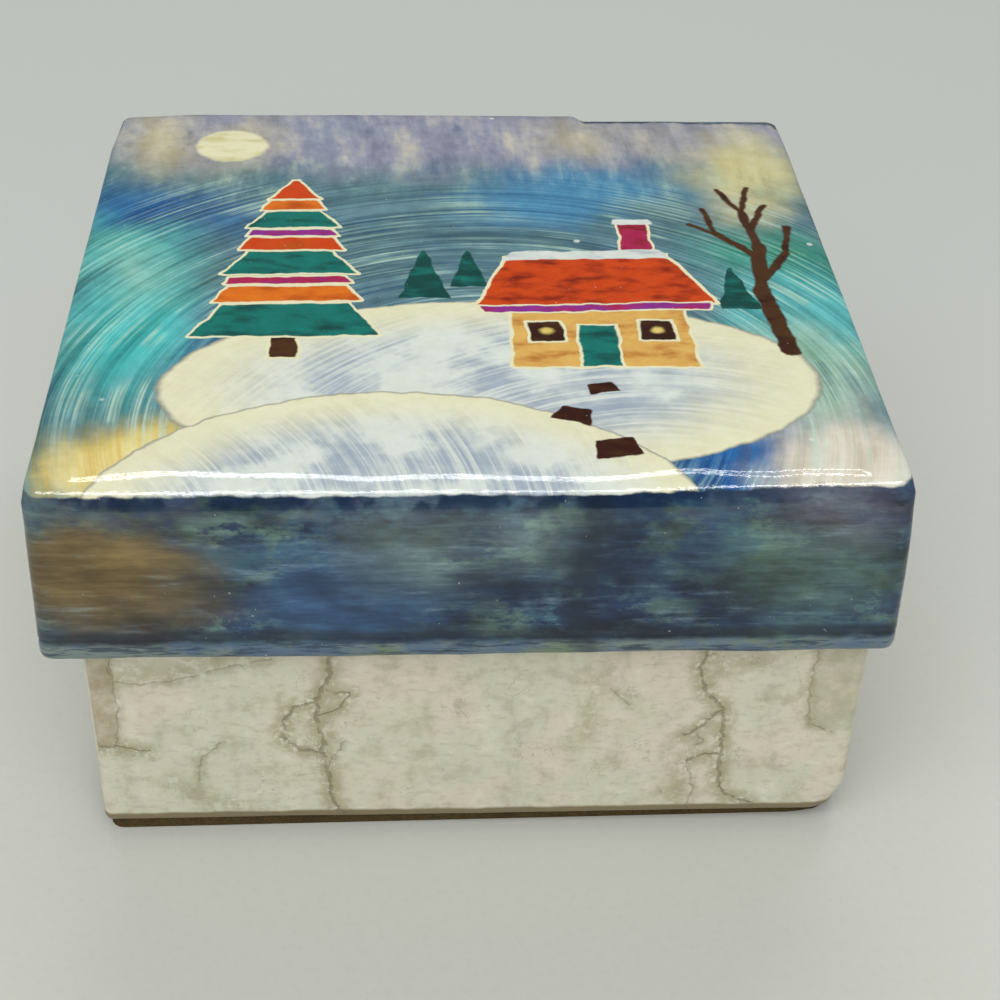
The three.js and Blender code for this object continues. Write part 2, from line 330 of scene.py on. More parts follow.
def arcs_round(point, centre, width, along):
    """Brush marks that run round a centre: fine across, long along."""
    return use("brush_arcs", Point=point, Centre=centre, Width=width, Along=along)["Mark"]


def brushed_over(colour, marks, strength):
    """Thick and thin paint: brush marks lighten and darken whatever colour they run over."""
    return blended(strength, colour, fade(marks, 0.27, 0.73), "SOFT_LIGHT")


print("paint groups ready")

# %% [markdown]
# Thick lacquer never dries flat: it keeps long swells, short ripples and the ridges of the
# paint under it. The bump of every lacquered finish adds up these heights, in millimetres.

# %% Lacquer
takes, gives = new_group("lacquer_ripples", {"Vector": "Point"}, {"Float": "Height"})
swell = times(clouds(takes["Point"], 7, 1), 0.10)
ripple = times(clouds(takes["Point"], 1.7, 2), 0.028)
grain = times(clouds(takes["Point"], 0.55, 2), 0.024)
give(gives["Height"], plus(plus(swell, ripple), grain))


def new_material(name):
    """Starts a material, and hands back the place of a point on it, in millimetres."""
    material = bpy.data.materials.new(name)
    material.use_nodes = True
    start_tree(material.node_tree)
    return material, scaled(add_node("TexCoord", {})["Object"], (1 / MM,) * 3)


def lacquered(point, *height):
    """The height of the lacquer, over something multiplied by a height of its own."""
    return times_plus(*height, use("lacquer_ripples", Point=point)["Height"])


def finish_surface(colour, roughness, height):
    """Joins a colour, a roughness and a height in millimetres to the material's own shader."""
    shader = work_tree.nodes["Principled BSDF"].inputs
    bump = add_node("Bump", {"Distance": MM, "Height": height})[0]
    for label, feed in (("Base Color", colour), ("Roughness", roughness), ("Normal", bump)):
        give(shader[label], feed)


print("lacquer ready")

# %% [markdown]
# The lid's picture is a plain winter evening of this lesson's own: two snowy rises, a cottage, a
# fir built up of coloured bands and a bare tree, under a sky of brushed washes. Everything in it
# is given in millimetres from the middle of the lid, with +y to the back. The washes come first,
# each a wide soft oval.

# %% The picture's washes
SKY_WASHES = [
    # x, y, radius along x, radius along y, turn, paint, strength
    (0, 50, 75, 20, 0, "lavender_grey", 1),
    (-44, 42, 5.5, 12, 0.15, "old_cream", 0.9),
    (-31, 40, 5, 10, -0.2, "old_cream", 0.65),
    (-20, 44, 4, 9, 0, "snow_shade", 0.6),
    (19, 43, 7, 7, 0.1, "old_cream", 0.6),
    (31, 40, 4, 9, -0.1, "old_cream", 0.45),
    (-46, -4, 14, 27, 0.1, "cyan", 1),
    (-52, -8, 4, 40, 0.02, "slate_teal", 0.8),
    (-42, 20, 17, 7, -0.3, "deep_blue", 1),
    (-43, 2, 5, 9, 0.2, "pale_green", 0.55),
    (-30, -8, 6, 26, 0.25, "slate", 0.7),
    (-24, -30, 10, 22, 0.2, "deep_blue", 0.6),
    (16, 24, 17, 10, 0.3, "clear_blue", 0.8),
    (43, 31, 8, 16, -0.1, "butter", 0.95),
    (45, 4, 13, 9, -0.5, "sea_green", 0.95),
    (46, -12, 14, 14, -0.4, "turquoise", 0.9),
    (40, -25, 13, 11, 0, "pale_green", 0.8),
    (30, -42, 9, 17, 0.15, "royal_blue", 1),
    (45, -46, 12, 13, 0, "rose_cream", 1),
    (-38, -44, 12, 10, 0.1, "golden", 1),
    (-38, -45, 9, 6, 0.1, "glow", 1),
]

def lay_washes(place, brush):
    """Lays the washes one over the other, each edge broken up by the brush marks."""
    ragged = wobbled(place, 9, 11)
    colour = "slate"
    for x, y, wide, deep, turn, paint, strength in SKY_WASHES:
        edge = times_plus(brush, 7, oval(ragged, x, y, wide, deep, turn))
        colour = washed(colour, (fade(edge, 7.5, -3, strength), paint))
    return colour


print(len(SKY_WASHES), "washes")

# %% [markdown]
# The motifs follow from back to front. The fir's bands and the cottage's patches are enamel-
# bright, with a thin pale outline where the maker left the shell bare between two colours.

# %% The picture's motifs
FIR_X = -23
FIR_BANDS = [
    # y, half width below, half width above, half height, paint, deep tone
    (-17.5, 1.7, 1.5, 3.2, "bark", "brown"),
    (-11.5, 12, 8, 4, "teal", "deep_teal"),
    (-4.8, 9.6, 7.8, 1.9, "orange", "burnt_orange"),
    (-1.2, 8.4, 7.6, 0.8, "magenta", "purple"),
    (3.6, 9, 5.6, 3, "teal", "deep_teal"),
    (8.9, 7, 5.6, 1.7, "orange_red", "burnt_orange"),
    (12.1, 6.2, 5.4, 0.8, "purple", "magenta"),
    (16, 6.4, 3.4, 2.3, "teal", "deep_teal"),
    (20.3, 4.4, 3.2, 1.3, "orange", "burnt_orange"),
    (25, 3.5, 0.3, 2.8, "orange_red", "deep_red"),
]
COTTAGE_PATCHES = [
    # x, y, half width below, half width above, half height, turn, paint, deep tone, outline
    (24.5, 10, 2.1, 2, 5, 0, "magenta", "deep_red", 0.35),
    (24.5, 15.4, 2.9, 2.5, 0.8, 0.05, "snow", "blue_snow", 0),
    (17.5, -15.5, 11.6, 11.2, 7.6, 0, "honey", "deep_honey", 0.4),
    (17.5, -1.2, 15.8, 10.8, 6.6, 0.03, "orange_red", "deep_red", 0.5),
    (17.3, 5.7, 11.6, 10.2, 1.2, 0.03, "snow", "blue_snow", 0),
    (17.5, -8.6, 14.8, 15.2, 0.8, 0.03, "purple", "magenta", 0.3),
    (17, -18, 2.5, 2.4, 5, 0, "teal", "deep_teal", 0.35),
    (10.4, -14.6, 2.2, 2.1, 2.4, 0.04, "brown", "bark", 0.35),
    (24.8, -14.3, 2.2, 2.1, 2.4, -0.03, "brown", "bark", 0.35),
]
WINDOW_LIGHTS = [(10.4, -14.4), (24.8, -14.1)]
PATH_STONES = [(16.5, -28, 2.1, 1.6, 1.2, 0.2), (12.5, -34, 2.5, 2, 1.6, -0.3),
               (17, -41, 2.9, 2.4, 1.9, 0.15)]
FAR_FIRS = [(-5, 0.5, 3.4, 6.5), (1, 2, 2.6, 5), (36.5, -3.5, 2.8, 5.5)]
BARE_TREE = [
    # from x, y to x, y, half width
    ((41.3, -19.5), (40, -4), 1.25), ((40, -4), (41.5, 8), 1), ((41.5, 8), (40.5, 18), 0.75),
    ((40.2, -2), (45, 6), 0.7), ((45, 6), (46.5, 14), 0.5), ((41, 5), (36, 12), 0.65),
    ((36, 12), (35, 19), 0.45), ((41, 13), (44, 20), 0.5), ((40.5, 18), (38, 25), 0.45),
    ((40.5, 18), (42.5, 26), 0.45), ((36.4, 11.5), (32.5, 14.5), 0.4),
]
MOON = (-33, 39.5, 5.2, 5.2)
FAR_RISE = ((3, -27), (40.5, 20), 0.03)
NEAR_RISE = ((-9, -60), (37, 31), -0.04)

def lay(picture, distance, paint, soft, deep=None, brush=0, outline=0, rim=None):
    """One more layer of paint over the picture so far, where the distance is below zero."""
    return use("paint_layer", Point=picture["Point"], Under=picture["Color"], Distance=distance,
               Paint=paint, Soft=soft, Deep=deep, Brush=brush, Outline=outline, Rim=rim)


def lay_rise(picture, place, rise, arcs_centre):
    """One snowy rise, with brush arcs over it and a shaded line along its edge."""
    (x, y), (wide, deep), turn = rise
    arcs = arcs_round(place, arcs_centre, 0.55, 1.5)
    drift = clouds(place, 13, 4, 0.6)
    shaded = times(fade(arcs, 0.58, 0.30, 0.6), fade(drift, 0.40, 0.56))
    distance = oval(picture["Point"], x, y, wide, deep, turn)
    snow = washed(
        "snow", (fade(drift, 0.40, 0.60), "blue_snow"), (shaded, "snow_shade"),
        (fade(arcs, 0.46, 0.66, 0.8), "snow"),
        (fade(times_plus(drift, 8, distance), -6, 3.5, 0.9), "cream_snow"))
    return lay(picture, distance, snow, 0.30, outline=0.06, rim="snow_line")


def lay_band(picture, brush, x, y, low, high, rise, turn, paint, deep, outline):
    distance = band(picture["Point"], x, y, low, high, rise, turn)
    return lay(picture, distance, paint, 0.14, deep, brush, outline, "cream_snow")


def snowflakes(place, colour):
    """Small pale dots, one in each of some cells of a loose net."""
    net = cells(place, 8.5)
    kept = above(x_of(net["Color"]), 0.45)
    share = times(fade(times(net["Distance"], 8.5), 0.60, 0.30), kept)
    return blended(times(share, 0.8), colour, "snow")


def lay_sky(place):
    """The washes under their brush marks, which stand upright at the back."""
    y = y_of(place)
    arcs = arcs_round(place, (3, -34, 0), 0.6, 1.4)
    upright = arcs_round(place, (-150, 30, 0), 5, 9)
    swirl = blended_value(fade(y, 17, 33), arcs, upright)
    smears = times(fade(upright, 0.48, 0.70, 0.5), fade(y, 24, 36))
    loaded = times(fade(clouds(place, 13), 0.42, 0.60), fade(y, 40, 24))
    dry = times(fade(clouds(place, 11), 0.54, 0.40), fade(y, -36, -24))
    colour = washed(
        lay_washes(place, swirl), (smears, "old_cream"),
        (times(fade(swirl, 0.46, 0.72, 0.8), loaded), "pale_green"),
        (times(fade(swirl, 0.52, 0.28, 0.45), dry), "deep_blue"))
    sweep = arcs_round(place, (3, -34, 0), 3.4, 1.8)
    colour = brushed_over(brushed_over(colour, swirl, 0.4), sweep, fade(y, 32, 14, 0.4))
    return snowflakes(place, colour), swirl


def lay_picture(point):
    """The whole picture, from the washes up."""
    place = flat(point)
    sky, swirl = lay_sky(place)
    worn = fade(clouds(scaled(place, (0.45, 1, 1)), 2.4, 4), 0.44, 0.74)
    picture = {"Point": flat(wobbled(place, 3.2, 1.3)), "Color": sky}
    picture = lay(picture, oval(picture["Point"], *MOON), "cream_snow", 0.5, "butter", worn)
    for x, y, half_width, rise in FAR_FIRS:
        picture = lay_band(picture, worn, x, y, half_width, 0.2, rise, 0, "deep_teal", "teal", 0)
    picture = lay_rise(picture, place, FAR_RISE, (22, -62, 0))
    branches = nearest_stroke(picture["Point"], BARE_TREE)
    picture = lay(picture, branches, "bark", 0.22, "brown", worn)
    for y, low, high, rise, paint, deep in FIR_BANDS:
        picture = lay_band(picture, worn, FIR_X, y, low, high, rise, 0.02, paint, deep, 0.4)
    for patch in COTTAGE_PATCHES:
        picture = lay_band(picture, worn, *patch)
    for x, y in WINDOW_LIGHTS:
        picture = lay(picture, oval(picture["Point"], x, y, 0.8, 0.8), "golden", 0.4, "golden")
    picture = lay_rise(picture, place, NEAR_RISE, (-52, -58, 0))
    for stone in PATH_STONES:
        picture = lay_band(picture, worn, *stone, "brown", "bark", 0)
    return brushed_over(picture["Color"], clouds(place, 2.4, 6, 0.68), 0.16), swirl


print(len(FIR_BANDS) + len(COTTAGE_PATCHES) + len(BARE_TREE) + len(PATH_STONES), "motif pieces")

# %% [markdown]
# The sides of the lid are brushed level, in slate blue and grey green over darker blue, with an
# ochre glow at the front left corner. Stretching the noise along x and y and keeping it fine
# along z gives level brush marks on all four sides with no seam at the corners. A navy line runs
# under the top edge, the groove above the rim is darkened as painted shade, and the rim is paler.

# %% The painted sides
mix_paints(
    navy="10233f", side_blue="305075", grey_green="4b6459", teal_slate="2b4654", ochre="7c663a",
    dark_ochre="544830", plum_grey="464759", dusk_grey="6e6c70", pale_streak="8499a0",
    mist="7f948c", ink="141f2c", rim_grey="74837f", rim_blue="566c82", rim_green="6d7d6a",
)
SIDE_WASHES = [
    # x, y, z of its middle, radius, paint, how strong
    (-15, -52, 41, 12, "side_blue", 0.9), (1, -52, 42, 8, "navy", 0.9), (-7, -52, 48, 9, "mist", 0.45),
    (8, -52, 49, 7, "mist", 0.45), (16, -52, 46, 8, "navy", 0.9),
    (38, -52, 44, 11, "grey_green", 0.7), (26, -52, 39, 8, "navy", 0.6),
    (-42, -52, 43, 14, "dark_ochre", 0.9), (-45, -52, 45, 9, "ochre", 0.9),
    (-52, -38, 43, 14, "dark_ochre", 0.9), (52, 28, 42, 14, "dark_ochre", 0.8),
    (52, -14, 40, 12, "side_blue", 0.8), (8, 52, 43, 15, "grey_green", 0.8),
    (-52, 16, 40, 13, "navy", 0.7), (-30, 52, 42, 12, "dark_ochre", 0.7),
    (42, -52, 53, 7, "dusk_grey", 0.65),
]
CRACK = [
    ((13.8, 54.2), (13.2, 46.2), 0), ((13.2, 46.2), (11.9, 40.3), 0),
    ((11.9, 40.3), (13.9, 32), 0),
]


def brush_level(point, patches, wide):
    """The sides' ground of greens and blues, and the washes over it."""
    colour = washed("side_blue", (fade(wide, 0.36, 0.62), "teal_slate"),
                    (fade(x_of(patches), 0.48, 0.58, 0.85), "grey_green"),
                    (fade(y_of(patches), 0.50, 0.58, 0.95), "navy"))
    colour = brushed_over(colour, wide, 0.8)
    for x, y, z, radius, paint, strength in SIDE_WASHES:
        reach = length(scaled(seen_from(point, (x, y, z)), (1, 1, 1.5)))
        reach = times_plus(z_of(patches), 16, reach)
        colour = blended(fade(reach, radius + 13, radius + 1, strength), colour, paint)
    return colour


def side_paint(point, lid_top, groove):
    fine = clouds(scaled(point, (0.12, 0.12, 1)), 0.8, 4, 0.68)
    # A level that climbs slowly to the right, so that the wide marks lie at a slant.
    slanting = point_of(0, 0, product(point, (0.16, 0.16, 1)))
    wide = clouds(vector_calc("MULTIPLY_ADD", flat(point), (0.48, 0.48, 0), slanting), 4.6, 5, 0.55)
    patches = clouds(scaled(point, (0.55, 0.55, 1)), 7, 6, 0.68, output="Color")
    pale = times(fade(fine, 0.50, 0.74, 0.3), fade(z_of(patches), 0.46, 0.60))
    colour = blended(pale, brush_level(point, patches, wide), "pale_streak")
    colour = brushed_over(brushed_over(colour, fine, 0.28), wide, 0.4)
    level = z_of(wobbled(point, 5, 1.1))
    plum = times(fade(level, lid_top - 4.4, lid_top - 2.6), fade(z_of(patches), 0.44, 0.56))
    edge_line = times(fade(level, lid_top - 2.6, lid_top - 1), fade(clouds(point, 4, 4), 0.42, 0.58))
    # The last of these washes darkens the groove above the rim: painted shade, not paint of the lid.
    colour = washed(
        colour, (times(plum, 0.5), "plum_grey"),
        (times(edge_line, fade(x_of(point), 44, 20, 0.85)), "navy"),
        (fade(absolute(minus(level, groove + 0.5)), 1.5, 0.3, 0.72), "ink"))
    rim = washed("rim_grey", (fade(wide, 0.40, 0.58), "rim_blue"),
                 (fade(x_of(patches), 0.50, 0.62), "rim_green"), (fade(fine, 0.5, 0.36, 0.75), "navy"))
    return blended(fade(level, groove - 0.1, groove - 1.1), colour, rim), fine


def crack_reach(point):
    """How far a point of the front side is from the overlap of its two plates."""
    torn = wobbled(point, 1.6, 2.6)
    reach = nearest_stroke(point_of(x_of(torn), z_of(torn), 0), CRACK)
    return times_plus(fade(y_of(point), -40, -30), FAR, reach)


print(len(SIDE_WASHES), "side washes")

# %% Make the lid's finish
LID_TOP_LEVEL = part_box("lid_edge_front")[1][2]
BAND_TOP_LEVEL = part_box("lid_rim_front")[1][2]
painted_lid, point = new_material("painted_lid")
picture, marks = lay_picture(point)
sides, level_marks = side_paint(point, LID_TOP_LEVEL / MM, BAND_TOP_LEVEL / MM)
sides = blended(fade(crack_reach(point), 3.2, 0.2, 0.6), sides, "ink")
level = z_of(wobbled(point, 2.2, 0.35))
on_top = fade(level, LID_TOP_LEVEL / MM - 0.80, LID_TOP_LEVEL / MM - 0.64)
colour = washed(sides, (on_top, picture), (fade(clouds(point, 0.5, 1), 0.79, 0.83, 0.5), "snow"))
roughness = times_plus(clouds(point, 5), 0.12, 0.03)
ridges = times(blended_value(on_top, level_marks, marks), 0.02)
finish_surface(colour, roughness, plus(use("lacquer_ripples", Point=point)["Height"], ridges))
print("lid finish has", len(painted_lid.node_tree.nodes), "nodes")

# %% [markdown]
# Capiz is cream with greenish and rosy clouds, fine hair lines and a few dark specks. Where two
# plates overlap, the torn edge shows through the lacquer as a thin brown line with a soft stain
# beside it. The seams of the front are drawn as they lie on it, in millimetres across and up.
# The other walls reuse them turned over and shifted, because no two walls of such a box match.

# %% The seams of the tray
TORN_SEAMS = [
    # each a torn overlap: its points, and its half width
    ([(-45.9, 14.8), (-43.6, 14.7), (-39.9, 14)], 0.10),
    ([(-17.8, 23.6), (-14.8, 23.2), (-16, 20.8), (-18.6, 19.6)], 0.10),
    ([(-18.9, 22), (-21.4, 21.2), (-22.7, 19.4), (-23.3, 16.4), (-23, 15.3), (-20.8, 13.8),
      (-18.6, 13.4)], 0.18),
    ([(-17.2, 28), (-17.2, 25.6), (-18.9, 22.4), (-18.9, 18.2), (-18.2, 14.8), (-18.4, 11.8),
      (-17.4, 8.6), (-17.6, 5.6), (-16, 2.4)], 0.24),
    ([(29.2, 28.8), (28.2, 26.8), (29.2, 23.2), (30.2, 21.4), (31.8, 20.2), (32.2, 13.2), (32.3, 7),
      (33.6, 4.8), (36.9, 3.4)], 0.20),
    ([(31.6, 19.8), (29.3, 16.8), (27.2, 15.5)], 0.15),
    ([(32.3, 11.9), (30.1, 12.2), (28, 10.8)], 0.20),
]
FINE_SEAMS = [
    ([(-43.4, 53.6), (-42.4, 41), (-43.6, 28), (-43.3, 21), (-43.9, 14.8)], 0.05),
    ([(-43.9, 28), (-43.4, 25.6), (-40.2, 25), (-35.9, 25.7), (-31, 27.2), (-24.1, 29)], 0.06),
    ([(-16.2, 53.6), (-17.6, 44), (-15.8, 35), (-17.2, 28)], 0.14),
    ([(-17.6, 11.2), (-16.5, 13.4), (-15.8, 15)], 0.08),
    ([(-31, 15.2), (-33.4, 12.8), (-34.3, 8.6)], 0.10),
    ([(27.6, 53.6), (28.9, 45), (27.2, 37), (29.2, 28.8)], 0.14),
    ([(28.9, 15.4), (29.9, 14.3), (29, 13.4)], 0.08),
    ([(28, 10.6), (28.7, 8.4), (29.2, 5.6), (28.6, 2.4)], 0.08),
    ([(43.4, 53.6), (42.2, 42), (43.2, 34), (42.8, 28.4), (42.4, 24), (42.9, 17), (46.2, 15.6)], 0.10),
    ([(17.4, 23.6), (18.8, 22.2), (19.9, 20.6)], 0.02),
]
STAINS = [
    # broad stains with no line of their own: the points, and the half width
    ([(-37.2, 8.6), (-33, 5.4), (-29.5, 4.2)], 0.5),
    ([(-17, 22.6), (-16.4, 21.4)], 0.9),
    ([(-42.6, 26.4), (-36, 27), (-31, 28.6)], 0.7),
    ([(17.2, 27), (15, 21.8), (14.8, 15.4)], 0.1),
    ([(31, 26.8), (36, 28)], 0.6),
    ([(27.4, 9), (27, 4.6)], 0.7),
]
mix_paints(
    cream="d3cfb9", greenish="cfceb8", rosy="d7cebb", shade="b2ac94", corner_tan="a4957a",
    corner_olive="b2ae95", stain="9d9570", line="776e4f", speck="3b3629", cut_edge="83765a",
    pale="e2dfce",
)
CORNER_PANELS = [
    # x and z of its middle, half width, half height, paint
    (-47.4, 35, 4, 20.4, "corner_tan"), (47, 36, 4.4, 20, "corner_olive"),
]


def wall_place(point, middle):
    """Where a point lies on its wall: across, up, and 0. Each wall sees other seams."""
    x = minus(x_of(point), middle)
    y = y_of(point)
    z = z_of(point)
    on_side = above(absolute(x), absolute(y))
    right = above(x, 0)
    side_across = times_plus(times(y, -1), times_plus(right, 2, -1), times_plus(right, 13, -7))
    front_across = times_plus(above(y, 0), -9, plus(x, middle))
    across = blended_value(on_side, front_across, side_across)
    up = blended_value(on_side, z, times_plus(z, -1, 55))
    return point_of(across, up, 0)


def stretches(seams):
    return [(start, end, half) for points, half in seams for start, end in zip(points, points[1:])]


def draw_seams(place):
    """The thin lines of the seams, and the stains beside them."""
    place = wobbled(place, 1.3, 1.5)
    torn, fine, broad = (nearest_stroke(place, stretches(s)) for s in (TORN_SEAMS, FINE_SEAMS, STAINS))
    line = larger(fade(torn, 0.12, -0.12), fade(fine, 0.12, -0.06, 0.6))
    stain = larger(fade(torn, 2.2, 0.1), fade(fine, 1.2, 0.1, 0.6))
    return line, larger(stain, fade(broad, 2.6, -0.6, 0.7))


print(len(stretches(TORN_SEAMS + FINE_SEAMS + STAINS)), "stretches of seam")

# %% [markdown]
# A hair line is drawn where a noise passes through one half, and a second noise lets only a few
# stretches of it show. The specks are the hearts of a few small cells.

# %% Make the natural shell's finish
takes, gives = new_group("shell_marks", {"Vector": "Point"}, {"Float": "Hair Speck"})
off_line = absolute(minus(clouds(takes["Point"], 5, 4, 0.6), 0.5))
shown = fade(clouds(takes["Point"], 6.5, 1), 0.54, 0.62)
give(gives["Hair"], times(fade(off_line, 0.007, 0.001), shown))
net = cells(takes["Point"], 2.6)
few = above(y_of(net["Color"]), 0.9)
give(gives["Speck"], times(fade(times(net["Distance"], 2.6), 0.26, 0.12), few))


def shell_ground(point):
    """The cream of bare capiz with its greenish and rosy clouds."""
    shades = clouds(point, 15, 3, 0.55, output="Color")
    mottle = clouds(point, 4, 5, 0.65)
    laid = clouds(scaled(point, (0.6, 0.6, 1.3)), 1.2, 4, 0.65)
    colour = washed(
        "cream", (fade(x_of(shades), 0.42, 0.60), "greenish"), (fade(y_of(shades), 0.46, 0.62), "rosy"),
        (fade(mottle, 0.52, 0.30, 0.75), "shade"), (fade(mottle, 0.52, 0.72, 0.6), "pale"),
        (fade(laid, 0.52, 0.30, 0.5), "shade"))
    return colour, mottle, laid


def lay_corner_panels(colour, point, place, mottle):
    """Where the folded corner strips show through at the front, the shell is darker."""
    ragged = wobbled(place, 2.2, 1.2)
    at_front = times(fade(mottle, 0.80, 0.30, 1), fade(y_of(point), -30, -40))
    for x, y, half_wide, half_high, paint in CORNER_PANELS:
        distance = band(ragged, x, y, half_wide, half_wide, half_high, 0)
        colour = blended(fade(distance, 0.4, -0.4, at_front), colour, paint)
    return colour


TRAY_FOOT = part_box("base_corner_front_left")[0][2]
TRAY_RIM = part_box("base_corner_front_left")[1][2]
TRAY_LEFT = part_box("base_corner_front_left")[0][0]
TRAY_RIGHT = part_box("base_corner_front_right")[1][0]
TRAY_MIDDLE = (TRAY_LEFT + TRAY_RIGHT) / 2
TRAY_HALF = (TRAY_RIGHT - TRAY_LEFT) / 2
natural_shell, point = new_material("natural_shell")
colour, mottle, laid = shell_ground(point)
place = wall_place(point, TRAY_MIDDLE / MM)
colour = lay_corner_panels(colour, point, place, mottle)
line, stain = draw_seams(place)
stain = times(stain, fade(clouds(point, 1.1, 4, 0.65), 0.36, 0.54))
line = times(line, fade(clouds(point, 1.6), 0.30, 0.46))
marks = use("shell_marks", Point=point)
level = z_of(wobbled(point, 4, 0.7))
# The last wash turns the shell brown over its lowest 1.5 mm, just above the foot.
colour = washed(
    colour, (times(stain, 0.66), "stain"), (times(line, 0.55), "line"),
    (times(marks["Hair"], 0.4), "line"), (times(marks["Speck"], 0.8), "speck"),
    (fade(level, TRAY_FOOT / MM + 1.5, TRAY_FOOT / MM + 1), "cut_edge"))
height = times_plus(stain, 0.07, times_plus(line, -0.12, lacquered(point, laid, 0.03)))
finish_surface(colour, times_plus(mottle, 0.2, 0.24), height)
print("shell finish has", len(natural_shell.node_tree.nodes), "nodes")

# %% [markdown]
# The linings are the same shell. Here the joints between its pieces are a loose net of fine
# brown lines, drawn where two cells of a Voronoi pattern meet. The pad under the tray is a brown
# felt, matt and fibrous, and the table is a pale board with the faintest grain. Its colour darkens
# towards the back: painted shade where the lamps' light falls off.

# %% Make the lining, the felt and the table
mix_paints(felt="3f3219", felt_light="5b4a2a", felt_dark="332814", table_near="cfd0c9",
           table_far="c0c4be", table_grain="c3c5be")
NET_SIZE = 34

lining_shell, point = new_material("lining_shell")
colour, mottle, laid = shell_ground(point)
edge = cells(wobbled(point, 4, 3), NET_SIZE, feature="DISTANCE_TO_EDGE")["Distance"]
edge = times(edge, NET_SIZE)
line = fade(edge, 0.35, 0.08)
hair = use("shell_marks", Point=point)["Hair"]
colour = washed(colour, (fade(edge, 2.2, 0, 0.4), "stain"), (times(line, 0.6), "line"),
                (times(hair, 0.35), "line"))
height = times_plus(line, -0.08, lacquered(point, laid, 0.04))
finish_surface(colour, times_plus(mottle, 0.2, 0.30), height)

brown_felt, point = new_material("brown_felt")
fibre = clouds(scaled(point, (1, 1, 2)), 0.5, 5, 0.7)
colour = washed("felt", (fade(fibre, 0.35, 0.65), "felt_light"),
                (fade(clouds(point, 6, 2), 0.5, 0.7, 0.4), "felt_dark"))
finish_surface(colour, times_plus(fibre, 0.1, 0.88), times(fibre, 0.12))

table_finish, point = new_material("table_top")
grain = clouds(point, 1.2, 3, 0.6)
# Painted shade: the table's colour darkens towards the back, standing in for the lamps' falloff.
colour = washed("table_near", (fade(y_of(point), -60, 180), "table_far"),
                (fade(grain, 0.5, 0.7, 0.25), "table_grain"))
finish_surface(colour, times_plus(grain, 0.1, 0.62), times(grain, 0.02))
print("finishes:", ", ".join(m.name for m in (lining_shell, brown_felt, table_finish)))

# %% [markdown]
# The pieces are modelled as by hand: a block is added at its size, shaped in edit mode, and
# finished with modifiers. These helpers select what an operator should act on, by its place.
# Nothing laid up by hand is straight, so a cloud pattern moves each skin a little.

# %% Helpers for modelling
def select_only(piece):
    bpy.ops.object.select_all(action="DESELECT")
    piece.select_set(True)
    bpy.context.view_layer.objects.active = piece


def add_block(name, half, low, high):
    """A square block about the tray's or the lid's middle, its place kept in its mesh."""
    bpy.ops.object.select_all(action="DESELECT")
    bpy.ops.mesh.primitive_cube_add(size=1)
    piece = bpy.context.object
    piece.name = piece.data.name = name
    piece.scale = (2 * half, 2 * half, high - low)
    piece.location = (0, 0, (low + high) / 2)
    bpy.ops.object.transform_apply(location=True, rotation=True, scale=True)
    return piece


def edit(piece, kind, wanted, operator, **settings):
    """Runs an edit mode operator on the vertices, edges or faces for which wanted() is true."""
    select_only(piece)
    bpy.ops.object.mode_set(mode="EDIT")
    bpy.ops.mesh.select_mode(type=kind)
    bpy.ops.mesh.select_all(action="DESELECT")
    mesh = bmesh.from_edit_mesh(piece.data)
    chosen = [e for e in {"VERT": mesh.verts, "EDGE": mesh.edges, "FACE": mesh.faces}[kind] if wanted(e)]
    for element in chosen:
        element.select_set(True)
    bmesh.update_edit_mesh(piece.data)
    if chosen:
        operator(**settings)
    bpy.ops.object.mode_set(mode="OBJECT")
    return len(chosen)


def is_upright(edge):
    a, b = (v.co for v in edge.verts)
    return abs(a.z - b.z) > 0.9 * (a - b).length


def at_level(level):
    return lambda element: all(abs(v.co.z - level) < 0.05 * MM for v in element.verts)


def spread(piece, level, factor):
    """Widens or narrows one level of a piece about its middle."""
    edit(piece, "VERT", lambda v: abs(v.co.z - level) < 0.004 * MM, bpy.ops.transform.resize,
         value=(factor, factor, 1), center_override=(0, 0, level))


def follow_profile(piece, half, profile):
    """Gives a block's walls a profile: at each level, how far out of the half width they lie."""
    levels = sorted(profile)
    for level in levels[1:-1]:
        edit(piece, "FACE", lambda f: True, bpy.ops.mesh.bisect, plane_co=(0, 0, level),
             plane_no=(0, 0, 1), threshold=0.001 * MM)
    for level in levels:
        spread(piece, level, 1 + profile[level] / half)


def round_edges(piece, wanted, radius, steps):
    edit(piece, "EDGE", wanted, bpy.ops.mesh.bevel, offset=radius, segments=steps, affect="EDGES")


def cut_finely(piece, longest):
    """Halves every edge that is longer than longest until none is."""
    while edit(piece, "EDGE", lambda e: e.calc_length() > longest, bpy.ops.mesh.subdivide):
        pass


def drop_faces(piece, wanted):
    edit(piece, "FACE", wanted, bpy.ops.mesh.delete, type="FACE")


def apply_modifier(piece, kind, **settings):
    select_only(piece)
    modifier = piece.modifiers.new(kind.lower(), kind)
    for key, value in settings.items():
        setattr(modifier, key, value)
    bpy.ops.object.modifier_apply(modifier=modifier.name)


def give_thickness(piece, thickness):
    apply_modifier(piece, "SOLIDIFY", thickness=thickness, offset=-1)


def hand_waves(name, wavelength):
    """A cloud pattern that stands for the unevenness of a surface laid up by hand."""
    texture = bpy.data.textures.new(name, "CLOUDS")
    texture.noise_scale = wavelength
    texture.noise_depth = 2
    return texture


def make_uneven(piece, texture, height):
    apply_modifier(piece, "DISPLACE", texture=texture, texture_coords="LOCAL",
                   strength=height, mid_level=0.5)


def soft_step(value):
    value = min(max(value, 0), 1)
    return value * value * (3 - 2 * value)


def near(distance, reach):
    """1 where the distance is 0, falling softly to 0 over reach."""
    return soft_step(1 - distance / reach)


def places_on(piece):
    """The place of each vertex. The vertex moves when its place is changed."""
    return (vertex.co for vertex in piece.data.vertices)


def press(piece, centre, reach, push):
    """Pushes the surface near centre, fading out over reach, as a thumb would."""
    for place in places_on(piece):
        place += Vector(push) * near((place - Vector(centre)).length, reach)


